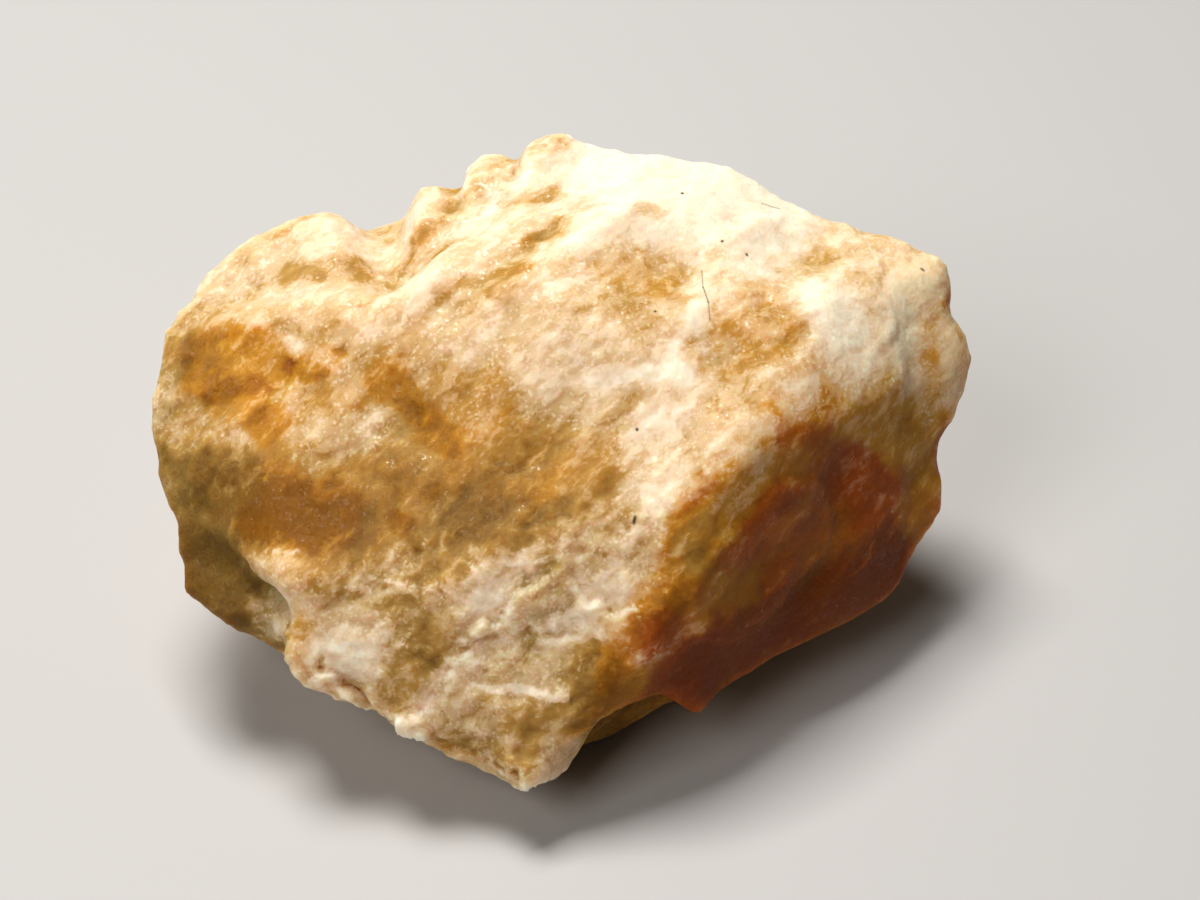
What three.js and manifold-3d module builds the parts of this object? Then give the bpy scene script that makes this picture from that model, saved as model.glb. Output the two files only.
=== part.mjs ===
// Raw danburite: one broken piece of honey-coloured crystal, as found.
// Millimetres, +Z up. The stone rests on a flat facet in the plane z = 0, and the
// origin is in that plane, under the middle of the stone.
//
// The corners where broken faces meet give a convex rough. Its surface is cut into small
// tiles, ribs and hollows are raised and pressed along the crystal's grain, noise roughens
// what is left, and a flat cut makes the facet that the stone rests on.

import * as THREE from "three";
import { ConvexGeometry } from "three/addons/geometries/ConvexGeometry.js";
import { ImprovedNoise } from "three/addons/math/ImprovedNoise.js";
import { TessellateModifier } from "three/addons/modifiers/TessellateModifier.js";
import { mergeVertices } from "three/addons/utils/BufferGeometryUtils.js";
import Module from "manifold-3d";

// ---------------------------------------------------------------- driving dimensions

const HEART = new THREE.Vector3(0, 0, 9); // the middle of the stone
const HALF_SIZE = new THREE.Vector3(16.5, 11.5, 9); // from the heart to each end
const GRAIN = new THREE.Vector3(0.75, 0.55, 0.36).normalize(); // the crystal's long axis
const TILE = 1.2; // the longest edge of a surface tile
const TILE_ROUNDS = 16; // enough halvings to bring every edge under TILE
const MERGE_DISTANCE = 1e-4; // vertices closer than this are one
const SLAB = new THREE.Vector3(60, 60, 10); // the block that cuts the rest facet

const SWELL = { size: 7, height: 0.45 }; // slow unevenness of the broken faces
const FIBRES = { size: 2.6, height: 0.3, stretch: 3 }; // ridges along the grain
const CHIPS = { size: 2.2, height: 0.16 }; // fine unevenness, the same each way

// The corners where broken faces meet. The base corners are below the plane of the cut.
const CORNERS = {
  left_tip: [-16.4, -0.3, 10.7],
  left_upper: [-16.1, 2.8, 13.3],
  left_shoulder: [-14.4, 5.1, 14.4],
  left_back: [-12.4, 6.3, 14.7],
  crest_left: [-3.7, 9.1, 17],
  crest: [0.2, 10, 17.7],
  crest_right: [6.4, 9.2, 17],
  right_back: [11.9, 7.3, 15.2],
  right_shoulder: [15.5, 6.1, 14.3],
  right_tip: [16.8, 4, 10.6],
  right_waist: [15.6, 0.7, 5.8],
  right_heel: [13.6, -2.3, 3.9],
  right_hem: [8.9, -5.5, 3.4],
  prow_right: [4.8, -8.4, 3.4],
  prow: [-1.4, -12.2, 2.6],
  front_hem: [-7.3, -9.4, 5.6],
  front_hem_left: [-10.2, -9, 5.6],
  left_sole: [-12.6, -6.2, 5.4],
  left_foot: [-15, -4.9, 6.2],
  left_foot_top: [-15.3, -3.1, 8],
  brow_left: [-5, 1.9, 16.7],
  brow: [1.6, 0.9, 16.8],
  brow_right: [9.3, 1.2, 15.1],
  ridge_low: [3.6, -8.9, 7.7],
  ridge_middle: [7.2, -4.3, 12.9],
  ridge_high: [13.6, 1.1, 11.9],
  break_left: [-10.2, -5.7, 9.7],
  break_middle: [-4.1, -7.5, 9.4],
  back_left: [-11, 9.5, 6],
  back_middle: [-1, 11.5, 8],
  back_right: [10, 10, 6],
  under_left: [-11, 0.5, 2.2],
  under_left_back: [-8, 7, 2.4],
  under_back: [1, 9.5, 2],
  under_right: [11, 2.5, 1.9],
  under_front_right: [5, -5.5, 1.2],
  under_front: [-5, -6.6, 2],
  base_front_left: [-7, -2, -0.4],
  base_front_right: [4, -3.8, -0.4],
  base_right: [8, 0.5, -0.4],
  base_back_right: [6.5, 6, -0.4],
  base_back_left: [-3, 7, -0.4],
  base_left: [-8, 2.5, -0.4],
};

// Ribs stand up from the rough and hollows sink in it, each along a straight path.
const RELIEF = [
  // knobs on the rim, from the left end up to the crest, and the valley in front of them
  { from: [-12.6, 5.6, 15], to: [-11, 6.6, 15.3], width: 2, height: 0.7 },
  { from: [-9.2, 6.2, 15.6], to: [-8.8, 7, 15.6], width: 2, height: 0.45 },
  { from: [-6.9, 4.4, 16.3], to: [-7.6, 9, 15.8], width: 2, height: -1.7 },
  { from: [-6, 6, 16.4], to: [-5.2, 7.8, 16.6], width: 1.5, height: 0.6 },
  { from: [-4.6, 6.4, 16.8], to: [-4.6, 9.5, 16.5], width: 1.2, height: -0.7 },
  { from: [-3.9, 6.8, 16.9], to: [-2.9, 8.9, 17.1], width: 1.5, height: 0.5 },
  { from: [-2.3, 8, 17.2], to: [-1.9, 10.5, 17], width: 0.8, height: -0.6 },
  { from: [-1.6, 8, 17.4], to: [-0.6, 9.6, 17.6], width: 1.4, height: 0.4 },
  { from: [-2.6, 6.4, 17.1], to: [-7, 2.9, 16.2], width: 1.5, height: -0.55 },
  { from: [-7, 2.9, 16.2], to: [-11.6, 3.6, 15.1], width: 2, height: -0.5 },
  // grooves along the grain across the top
  { from: [-0.4, 4, 17.1], to: [-4.2, 1.2, 16.4], width: 1.4, height: -0.6 },
  { from: [2.5, 5.5, 17], to: [-2, 2.4, 16.9], width: 1.2, height: 0.35 },
  // hollows in the top and the main face
  { from: [2.2, 1.8, 16.8], to: [4.4, 3.4, 16.6], width: 2.6, height: -0.55 },
  { from: [6.4, 0.4, 15.3], to: [8.2, 1.2, 15], width: 2.6, height: -0.6 },
  { from: [8.8, 4.4, 15.8], to: [9.8, 5.2, 15.6], width: 2, height: -0.4 },
  { from: [-13, 1, 13.2], to: [-11.4, 0.6, 13.4], width: 2.4, height: -0.5 },
  { from: [-6.6, -1.6, 13.6], to: [-5.4, -3, 13], width: 1.9, height: -0.4 },
  // the raised flake above the set-back lower left facet
  { from: [-12.4, -5.6, 8.9], to: [-8.6, -6.8, 8.8], width: 1.2, height: 0.7 },
  { from: [-13.9, -5.2, 7.4], to: [-12.2, -6.8, 6.8], width: 1.9, height: -0.9 },
  // the crumbled ridge and the smooth face to its right
  { from: [6.4, -3.2, 13.4], to: [3.4, -8, 9], width: 1.6, height: 0.35 },
  { from: [7.6, -4, 9.6], to: [6.2, -6, 8], width: 2.6, height: 0.6 },
  { from: [11, -1.4, 10], to: [9, -5, 5], width: 1.6, height: -0.5 },
  { from: [1.8, -9.6, 2.6], to: [3.5, -8.5, 2.6], width: 2.2, height: -2.8 },
  { from: [5, -7.6, 4.6], to: [5, -8, 3.4], width: 1.4, height: 0.7 },
  // upright grooves in the right end
  { from: [14.3, 3.4, 13.6], to: [14.2, 1.2, 9.8], width: 1.3, height: -0.7 },
  { from: [15.6, 4.6, 14.2], to: [15.9, 2.4, 9.4], width: 1.2, height: 0.4 },
  { from: [16.8, 5.6, 12.9], to: [15.8, 4.8, 12.7], width: 1.1, height: -0.6 },
  { from: [16.2, 2, 7.6], to: [14.6, 0, 7.4], width: 1.4, height: -0.6 },
  // steps in the lower edge
  { from: [-12, -7.6, 5.2], to: [-11.4, -7.2, 6.6], width: 1.8, height: -1.8 },
  { from: [-8, -9.4, 5.2], to: [-4, -10.8, 4.2], width: 1.6, height: -0.6 },
  { from: [-3.4, -11.4, 3.2], to: [-3, -10.6, 4.6], width: 0.9, height: -0.6 },
];

// ---------------------------------------------------------------- relief and noise

const noise = new ImprovedNoise();
const paths = RELIEF.map(({ from, to, width, height }) => ({
  line: new THREE.Line3(new THREE.Vector3(...from), new THREE.Vector3(...to)),
  width,
  height,
}));

// How far ribs and hollows lift the surface at a point: full on the path, none a width away.
function relief(point) {
  const foot = new THREE.Vector3();
  let lift = 0;
  for (const { line, width, height } of paths) {
    line.closestPointToPoint(point, true, foot);
    const share = Math.min(foot.distanceTo(point) / width, 1);
    lift += height * (1 - share * share) ** 2;
  }
  return lift;
}

function wave(point, size) {
  return noise.noise(point.x / size, point.y / size, point.z / size);
}

// Noise whose waves are drawn out along the grain.
function fibres(point) {
  const along = point.dot(GRAIN);
  const squeezed = point.clone().addScaledVector(GRAIN, along / FIBRES.stretch - along);
  return wave(squeezed, FIBRES.size);
}

function roughness(point) {
  const swell = SWELL.height * wave(point, SWELL.size);
  const ribs = FIBRES.height * fibres(point);
  const chips = CHIPS.height * wave(point, CHIPS.size);
  return swell + ribs + chips;
}

// ---------------------------------------------------------------- the stone

function roughGeometry() {
  const corners = Object.values(CORNERS).map((corner) => new THREE.Vector3(...corner));
  const hull = new ConvexGeometry(corners);
  hull.deleteAttribute("normal");
  return mergeVertices(new TessellateModifier(TILE, TILE_ROUNDS).modify(hull), MERGE_DISTANCE);
}

// Moves each vertex out from the heart, square to the ellipsoid that fits the stone.
function weather(geometry) {
  const positions = geometry.attributes.position;
  const point = new THREE.Vector3();
  const outward = new THREE.Vector3();
  for (let i = 0; i < positions.count; i++) {
    point.fromBufferAttribute(positions, i);
    outward.copy(point).sub(HEART).divide(HALF_SIZE).divide(HALF_SIZE).normalize();
    point.addScaledVector(outward, relief(point) + roughness(point));
    positions.setXYZ(i, point.x, point.y, point.z);
  }
  return geometry;
}

const wasm = await Module();
wasm.setup();

function toManifold(geometry) {
  return new wasm.Manifold(new wasm.Mesh({
    numProp: 3,
    vertProperties: new Float32Array(geometry.attributes.position.array),
    triVerts: new Uint32Array(geometry.index.array),
  }));
}

function fromManifold(solid) {
  const mesh = solid.getMesh();
  const geometry = new THREE.BufferGeometry();
  geometry.setAttribute("position", new THREE.BufferAttribute(mesh.vertProperties, 3));
  geometry.setIndex(new THREE.BufferAttribute(mesh.triVerts, 1));
  return geometry;
}

// The block under the plane z = 0.
function slabGeometry() {
  const slab = new THREE.BoxGeometry(SLAB.x, SLAB.y, SLAB.z);
  slab.deleteAttribute("normal");
  slab.deleteAttribute("uv");
  return mergeVertices(slab.translate(0, 0, -SLAB.z / 2), MERGE_DISTANCE);
}

function stoneGeometry() {
  const rough = toManifold(weather(roughGeometry()));
  const geometry = fromManifold(rough.subtract(toManifold(slabGeometry())));
  geometry.computeBoundingBox();
  const centre = geometry.boundingBox.getCenter(new THREE.Vector3());
  return geometry.translate(-centre.x, -centre.y, 0);
}

const stone = new THREE.Group();
const danburite = new THREE.Mesh(
  stoneGeometry(),
  new THREE.MeshStandardMaterial({ color: 0xd9b27a, roughness: 0.5, metalness: 0 }),
);
danburite.name = "danburite";
stone.add(danburite);

export default stone;
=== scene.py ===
"""Raw danburite: the finely broken surface and the finish of one honey-coloured crystal."""

import logging
import math
from dataclasses import dataclass
from enum import Enum
from typing import Dict, Optional, Sequence, Tuple, Union

import bpy
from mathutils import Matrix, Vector


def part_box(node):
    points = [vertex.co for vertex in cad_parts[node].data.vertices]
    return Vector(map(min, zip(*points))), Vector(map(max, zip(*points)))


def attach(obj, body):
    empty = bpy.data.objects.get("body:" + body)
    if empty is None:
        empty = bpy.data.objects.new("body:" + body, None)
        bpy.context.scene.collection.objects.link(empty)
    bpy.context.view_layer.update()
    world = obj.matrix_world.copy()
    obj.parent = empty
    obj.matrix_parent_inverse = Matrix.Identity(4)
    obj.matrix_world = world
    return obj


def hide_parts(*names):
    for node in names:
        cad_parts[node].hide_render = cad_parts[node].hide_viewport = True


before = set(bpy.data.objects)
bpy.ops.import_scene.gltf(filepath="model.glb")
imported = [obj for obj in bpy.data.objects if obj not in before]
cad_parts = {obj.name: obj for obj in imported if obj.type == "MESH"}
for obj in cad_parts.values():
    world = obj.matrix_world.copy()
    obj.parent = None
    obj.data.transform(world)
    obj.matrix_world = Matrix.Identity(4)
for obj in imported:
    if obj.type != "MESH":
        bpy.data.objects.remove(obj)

NODE = "danburite"
BODY = "root"
MM = 0.001  # one millimetre, in metres

LOW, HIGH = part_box(NODE)
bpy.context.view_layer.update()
HALF_LENGTH = (HIGH.x - LOW.x) / 2 / MM
HALF_WIDTH = (HIGH.y - LOW.y) / 2 / MM
HEIGHT = (HIGH.z - LOW.z) / MM

GRAIN = Vector((0.75, 0.55, 0.36)).normalized()  # the crystal's long axis
TOP_GRAIN = Vector((0.68, 0.73, 0.0)).normalized()  # the way that streaks run on the top
LEDGE_RISE = GRAIN.cross(Vector((1, 0, 0))).normalized()  # ledges climb this way
BLOCK = 2.8  # the width of the blocks that the front is broken into, in millimetres

Triple = Tuple[float, float, float]
Span = Tuple[float, float]  # where something starts and where it is full
log = logging.getLogger("danburite")


def at(place: Triple) -> Vector:
    """A place on the stone, in millimetres.

    Args:
        place: Shares of the half length, the half width and the height.

    Returns:
        The place in the stone's frame.
    """
    along, across, up = place
    return Vector((along * HALF_LENGTH, across * HALF_WIDTH, up * HEIGHT))


def deselect() -> None:
    """Leaves nothing selected, so that an operator acts only on what is picked next."""
    for thing in bpy.context.selected_objects:
        thing.select_set(False)


def pick(thing: bpy.types.Object) -> None:
    """Makes one object the only selected one and the active one.

    Args:
        thing: The object that the next operators act on.
    """
    deselect()
    thing.select_set(True)
    bpy.context.view_layer.objects.active = thing


# ------------------------------------------------------------------------ node writing


class Socket:
    """An output of a node, with the operators that fields and masks are written in."""

    def __init__(self, writer: "Writer", output: bpy.types.NodeSocket) -> None:
        """Holds an output socket and the writer that adds nodes beside it."""
        self.writer = writer
        self.output = output

    def __add__(self, other: "Operand") -> "Socket":
        """Adds a socket or a number."""
        return self.writer.math("ADD", self, other)

    __radd__ = __add__

    def __sub__(self, other: "Operand") -> "Socket":
        """Takes a socket or a number away."""
        return self.writer.math("SUBTRACT", self, other)

    def __rsub__(self, other: "Operand") -> "Socket":
        """Takes this socket away from a number."""
        return self.writer.math("SUBTRACT", other, self)

    def __mul__(self, other: "Operand") -> "Socket":
        """Multiplies by a socket or a number."""
        return self.writer.math("MULTIPLY", self, other)

    __rmul__ = __mul__

    def __truediv__(self, other: "Operand") -> "Socket":
        """Divides by a socket or a number."""
        return self.writer.math("DIVIDE", self, other)


Operand = Union[Socket, float]


class Writer:
    """Adds nodes to one node tree, of a material or of a geometry modifier."""

    def __init__(self, tree: bpy.types.NodeTree) -> None:
        """Empties the tree and keeps it."""
        self.tree = tree
        tree.nodes.clear()

    def node(
        self, kind: str, settings: Optional[dict] = None, inputs: Optional[dict] = None
    ) -> bpy.types.Node:
        """Adds one node.

        Args:
            kind: The node's type.
            settings: Its own settings, which are made first.
            inputs: A value or a link for each input, by name or number.

        Returns:
            The new node.
        """
        made = self.tree.nodes.new(kind)
        for name, value in (settings or {}).items():
            setattr(made, name, value)
        for name, value in (inputs or {}).items():
            self.feed(made.inputs[name], value)
        return made

    def feed(self, target: bpy.types.NodeSocket, value: object) -> None:
        """Links a socket to an input, or sets the input to a plain value.

        Args:
            target: The input.
            value: A socket, or what the input is set to.
        """
        if isinstance(value, Socket):
            self.tree.links.new(value.output, target)
        else:
            target.default_value = value

    def out(self, made: bpy.types.Node, name: Union[str, int] = 0) -> Socket:
        """Wraps one output of a node."""
        return Socket(self, made.outputs[name])

    def math(self, operation: str, *values: Operand) -> Socket:
        """One Math node on sockets and numbers."""
        made = self.node("ShaderNodeMath", {"operation": operation}, dict(enumerate(values)))
        return self.out(made)

    def vector(self, operation: str, *values: object) -> Socket:
        """One Vector Math node.

        Args:
            operation: What it does.
            values: Its sockets, vectors and numbers, in order.

        Returns:
            A vector, or a number for a length, a distance or a product.
        """
        made = self.node("ShaderNodeVectorMath", {"operation": operation})
        for slot, value in zip(self.vector_slots(operation), values):
            self.feed(made.inputs[slot], value)
        scalar = operation in ("DOT_PRODUCT", "LENGTH", "DISTANCE")
        return self.out(made, "Value" if scalar else "Vector")

    @staticmethod
    def vector_slots(operation: str) -> Sequence[Union[int, str]]:
        """The inputs of a Vector Math node, in the order that they are given."""
        return (0, "Scale") if operation == "SCALE" else (0, 1, 2)

    def smooth(self, value: Socket, low: float, high: float) -> Socket:
        """Turns a number into a soft step.

        Args:
            value: The number.
            low: Where the step starts; it may be the larger of the two.
            high: Where the step is full.

        Returns:
            0 at low, 1 at high and an S between them.
        """
        if low > high:
            return 1.0 - self.smooth(value, high, low)
        made = self.node(
            "ShaderNodeMapRange",
            {"interpolation_type": "SMOOTHSTEP"},
            {"Value": value, "From Min": low, "From Max": high},
        )
        return self.out(made)

    def within(self, value: Socket) -> Socket:
        """A number kept between 0 and 1."""
        return self.math("MAXIMUM", self.math("MINIMUM", value, 1.0), 0.0)

    @staticmethod
    def at_least(least: float, mask: Socket) -> Socket:
        """A mask squeezed up, so that it is never under its least."""
        return least + (1 - least) * mask

    def mix(self, share: Operand, first: object, second: object) -> Socket:
        """A colour between two: the first at a share of 0, the second at 1."""
        made = self.node("ShaderNodeMix", {"data_type": "RGBA"}, {0: share, 6: first, 7: second})
        return self.out(made, 2)


# ------------------------------------------------------------------------ fields


@dataclass(frozen=True)
class Stroke:
    """A mark along a straight path on the stone.

    Attributes:
        start: Where it starts, in shares of the stone.
        end: Where it ends.
        width: How far it reaches to each side, in millimetres.
        amount: Its height in millimetres, or its strength as a colour.
    """

    start: Triple
    end: Triple
    width: float
    amount: float = 1.0


def chain(width: float, amount: float, *places: Triple) -> Tuple[Stroke, ...]:
    """Strokes of one width and amount, end to end through several places."""
    return tuple(Stroke(*ends, width, amount) for ends in zip(places, places[1:]))


@dataclass(frozen=True)
class Waves:
    """A kind of noise.

    Attributes:
        size: The size of its largest waves, in millimetres.
        detail: How many finer layers it has.
        rough: How strong the finer layers are.
        shift: Sets it apart from other noise of the same size.
    """

    size: float
    detail: float = 2.0
    rough: float = 0.5
    shift: float = 0.0


@dataclass(frozen=True)
class Bend:
    """A way of moving places about, which makes straight patterns uneven.

    Attributes:
        size: The size of its waves, in millimetres.
        far: How far it moves a place at most, in millimetres.
    """

    size: float
    far: float


@dataclass(frozen=True)
class Facet:
    """A broken face, known by the plane that it lies in.

    Attributes:
        normal: The way that the face looks.
        reach: The plane's distance from the origin, in millimetres.
        core: How far under the plane the face counts in full, in millimetres.
        depth: How far under the plane it stops counting, in millimetres.
    """

    normal: Triple
    reach: float
    core: float
    depth: float


TOP_PLANE = ((0.1, -0.1, 0.99), 16.9)
FRONT_PLANE = ((0.0, -0.84, 0.54), 11.1)
RIGHT_PLANE = ((0.68, -0.72, 0.14), 9.75)


class Facets(Enum):
    """The stone's main broken faces, and wider stretches of some of them."""

    TOP = Facet(*TOP_PLANE, 1.1, 2.2)
    FRONT = Facet(*FRONT_PLANE, 0.5, 1.0)
    RIGHT = Facet(*RIGHT_PLANE, 0.2, 1.6)
    # on the right face, a russet that is partly its own colour and partly painted shade, as the
    # face lies out of the key light
    BLUSH = Facet(*RIGHT_PLANE, 0.9, 2.0)  # what is russet on the right
    LEFT = Facet((-0.95, -0.2, 0.25), 18.0, 2.0, 4.0)
    CRACKED = Facet(*FRONT_PLANE, 3.0, 5.0)  # where healed cracks may be
    UPPER = Facet(*TOP_PLANE, 4.0, 6.0)  # where the top's streaks may be
    # painted light: the right end's peach-white stands for light glowing through its thin edge
    STRIP = Facet((1.0, -0.1, 0.0), 16.0, 1.5, 6.0)  # the peach-white right end


class Fields:
    """Noise and masks over the stone, in millimetres, for its shape and its colours."""

    SPAN = 2.6  # brings plain noise from 0 to 1 to about -1 to 1
    FIBRE_STRETCH = 3.2  # how many times longer fibres are than wide
    GRAIN_STRETCH = 1.6  # the same for grains and blocks
    GRAIN_BEND = Bend(0.8, 0.35)
    BLOCK_BENDS = (Bend(0.6, 0.3), Bend(1.6, 0.9))
    LUMP = Waves(1.6, 2.0, 0.55)
    LUMP_RISE = 2.6  # how fast a lump rises from its crease
    LEDGE_TOP = 0.8  # the share of a ledge that climbs

    def __init__(self, writer: Writer, place: Socket, sight: Optional[Vector] = None) -> None:
        """Prepares the places that patterns are read at.

        Args:
            writer: Adds the nodes.
            place: The place on the stone, a vector in millimetres.
            sight: Marks are drawn as seen along this; in the round if left out.
        """
        self.writer = writer
        self.sight = sight
        self.place = place if sight is None else self.pressed(place, sight)
        self.fibrewise = self.squeezed(place, GRAIN, self.FIBRE_STRETCH)
        self.grainwise = self.squeezed(self.warped(self.GRAIN_BEND), GRAIN, self.GRAIN_STRETCH)

    def pressed(self, place: Socket, axis: Vector) -> Socket:
        """The place with its part along an axis taken away."""
        deep = self.writer.vector("DOT_PRODUCT", place, axis[:])
        return self.writer.vector("SUBTRACT", place, self.writer.vector("SCALE", axis[:], deep))

    def seen(self, point: Vector) -> Vector:
        """A point as it is seen along the sight."""
        return point if self.sight is None else point - self.sight * point.dot(self.sight)

    def squeezed(self, place: Socket, axis: Vector, times: float) -> Socket:
        """Draws patterns out along an axis.

        Args:
            place: Where they would be read.
            axis: The way to draw them out.
            times: How much longer they get.

        Returns:
            The place with its part along the axis made smaller.
        """
        along = self.writer.vector("DOT_PRODUCT", place, axis[:])
        back = self.writer.vector("SCALE", axis[:], along * (1 - 1 / times))
        return self.writer.vector("SUBTRACT", place, back)

    def noise(self, waves: Waves, place: Optional[Socket] = None) -> Socket:
        """Noise from about -1 to 1.

        Args:
            waves: The kind of noise.
            place: Where it is read; the stone's own place if left out.

        Returns:
            The noise.
        """
        made = self.writer.node(
            "ShaderNodeTexNoise",
            {"noise_dimensions": "4D"},
            {
                "Vector": place or self.place,
                "W": waves.shift,
                "Scale": 1 / waves.size,
                "Detail": waves.detail,
                "Roughness": waves.rough,
            },
        )
        return (self.writer.out(made, "Fac") - 0.5) * self.SPAN

    def cells(self, size: float, place: Socket, feature: str = "F1") -> bpy.types.Node:
        """Divides space into cells.

        Args:
            size: About how wide the cells are, in millimetres.
            place: Where they are read.
            feature: What is read of them: the nearest cell, or how far its edge is.

        Returns:
            The Voronoi node.
        """
        return self.writer.node(
            "ShaderNodeTexVoronoi",
            {"feature": feature},
            {"Vector": place, "Scale": 1 / size},
        )

    def warped(self, *bends: Bend) -> Socket:
        """Moves the stone's own place about.

        Args:
            bends: How, one after the other.

        Returns:
            The moved place.
        """
        place = self.place
        for bend in bends:
            made = self.writer.node(
                "ShaderNodeTexNoise",
                None,
                {"Vector": place, "Scale": 1 / bend.size, "Detail": 2.0},
            )
            centred = self.writer.vector("SUBTRACT", self.writer.out(made, "Color"), (0.5,) * 3)
            moved = self.writer.vector("SCALE", centred, 2 * bend.far)
            place = self.writer.vector("ADD", place, moved)
        return place

    def chips(self, size: float, place: Socket) -> Socket:
        """Small flat faces, each tilted its own way, in cells of a size.

        Args:
            size: The cells' width, in millimetres.
            place: Where it is read.

        Returns:
            The height of the faces, as a share of size.
        """
        made = self.cells(size, place)
        centre = self.writer.out(made, "Position")
        tilt = self.writer.vector("SUBTRACT", self.writer.out(made, "Color"), (0.5,) * 3)
        offset = self.writer.vector("SUBTRACT", place, centre)
        return self.writer.vector("DOT_PRODUCT", offset, tilt) / size

    def blockwise(self) -> Socket:
        """The place bent as the blocks of the front are."""
        return self.squeezed(self.warped(*self.BLOCK_BENDS), GRAIN, self.GRAIN_STRETCH)

    def lots(self, size: float, place: Socket) -> Socket:
        """A number from -1 to 1 for each cell of a size, the same cells as chips have."""
        colour = self.writer.out(self.cells(size, place), "Color")
        return self.writer.vector("DOT_PRODUCT", colour, (0.0, 0.0, 2.0)) - 1.0

    def lumps(self, place: Socket) -> Socket:
        """Rounded lumps, from -1 in the creases between them to about 1 on their tops."""
        wave = self.noise(self.LUMP, place)
        return self.writer.math("ABSOLUTE", wave) * self.LUMP_RISE - 1.0

    def ledges(self, size: float, place: Socket) -> Socket:
        """Steps across the grain that climb slowly and fall steeply.

        Args:
            size: How far the steps are apart, in millimetres.
            place: Where they are read.

        Returns:
            The height, from 0 to 1.
        """
        climb = self.writer.vector("DOT_PRODUCT", place, LEDGE_RISE[:]) / size
        part = self.writer.math("FRACT", climb)
        return part - self.writer.smooth(part, self.LEDGE_TOP, 1.0)

    def on_facet(self, facet: Facet) -> Socket:
        """1 on a broken face and 0 away from it."""
        reach = self.writer.vector("DOT_PRODUCT", self.place, facet.normal)
        return self.writer.smooth(facet.reach - reach, facet.depth, facet.core)

    def along(self, stroke: Stroke, waver: Operand = 0.0, core: float = 0.0) -> Socket:
        """1 in the middle of a stroke, 0 at its sides.

        Args:
            stroke: The mark.
            waver: Moves its sides in and out, as a share of its width.
            core: How much of its width is full, as a share.

        Returns:
            The mask.
        """
        start, end = self.seen(at(stroke.start)), self.seen(at(stroke.end))
        run = end - start
        offset = self.writer.vector("SUBTRACT", self.place, start[:])
        product = self.writer.vector("DOT_PRODUCT", offset, run[:])
        foot = self.writer.vector("SCALE", run[:], self.writer.within(product / run.length_squared))
        away = self.writer.vector("DISTANCE", offset, foot) / stroke.width + waver
        return self.writer.smooth(away, 1.0, core)

    def strokes(
        self, marks: Sequence[Stroke], waver: Operand = 0.0, core: float = 0.0
    ) -> Socket:
        """Several strokes together.

        Args:
            marks: The strokes.
            waver: Moves their sides in and out, as a share of their widths.
            core: How much of their widths is full, as a share.

        Returns:
            The sum of their masks, each times its amount.
        """
        total = self.along(marks[0], waver, core) * marks[0].amount
        for mark in marks[1:]:
            total = total + self.along(mark, waver, core) * mark.amount
        return total


# ------------------------------------------------------------------------ the zones

MILK = "milk"  # how cloudy each point is, from about 0, clear, to 1, frosty
WARMTH = "warmth"  # the clear stone's colour, from 0, olive, to 1, russet
HEALED = "healed"  # 1 along healed cracks, 0 away from them
UP = Vector((0.0, 0.0, 1.0))

NOTCHES = (  # gaps between the rim's knobs, steps in the lower edge, a dip on the right face
    Stroke((0.46, -0.35, 0.54), (0.38, -0.50, 0.46), 2.4, -0.4),
    Stroke((-0.28, 0.58, 0.94), (-0.28, 0.80, 0.91), 0.7, -0.4),
    Stroke((-0.14, 0.68, 0.97), (-0.12, 0.90, 0.94), 0.6, -0.35),
    Stroke((-0.66, -0.61, 0.31), (-0.64, -0.62, 0.24), 1.2, -0.5),
    Stroke((-0.51, -0.74, 0.29), (-0.50, -0.76, 0.22), 1.1, -0.35),
    Stroke((-0.19, -0.94, 0.24), (-0.19, -0.98, 0.12), 1.2, -0.35),
)
HEM = (  # the crumbled lower edge of the front
    Stroke((-0.66, -0.60, 0.32), (-0.52, -0.74, 0.28), 1.8),
    Stroke((-0.50, -0.76, 0.26), (-0.28, -0.92, 0.18), 1.6),
    Stroke((-0.26, -0.93, 0.17), (-0.08, -0.98, 0.18), 1.8),
)
BOSS = (Stroke((0.40, -0.56, 0.46), (0.53, -0.36, 0.50), 3.4),)  # the plate on the right face


class Look(Enum):
    """What a patch does to the stone: milk clouds it and warmth reddens it."""

    FROST = (0.75, 0.0)
    PALE = (0.3, -0.12)
    HONEY = (-0.45, 0.0)
    AMBER = (-0.34, 0.2)
    OLIVE = (-0.4, -0.33)
    RUSSET = (0.2, 0.3)
    # painted light: paler, yellower patches for light glowing through thin edges
    GLOW = (0.2, -0.25)
    # partly painted shade: darker, clearer stone low on the front, along the right face's lower
    # edge and under them, where shade falls
    UMBER = (-0.5, 0.05)


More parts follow.
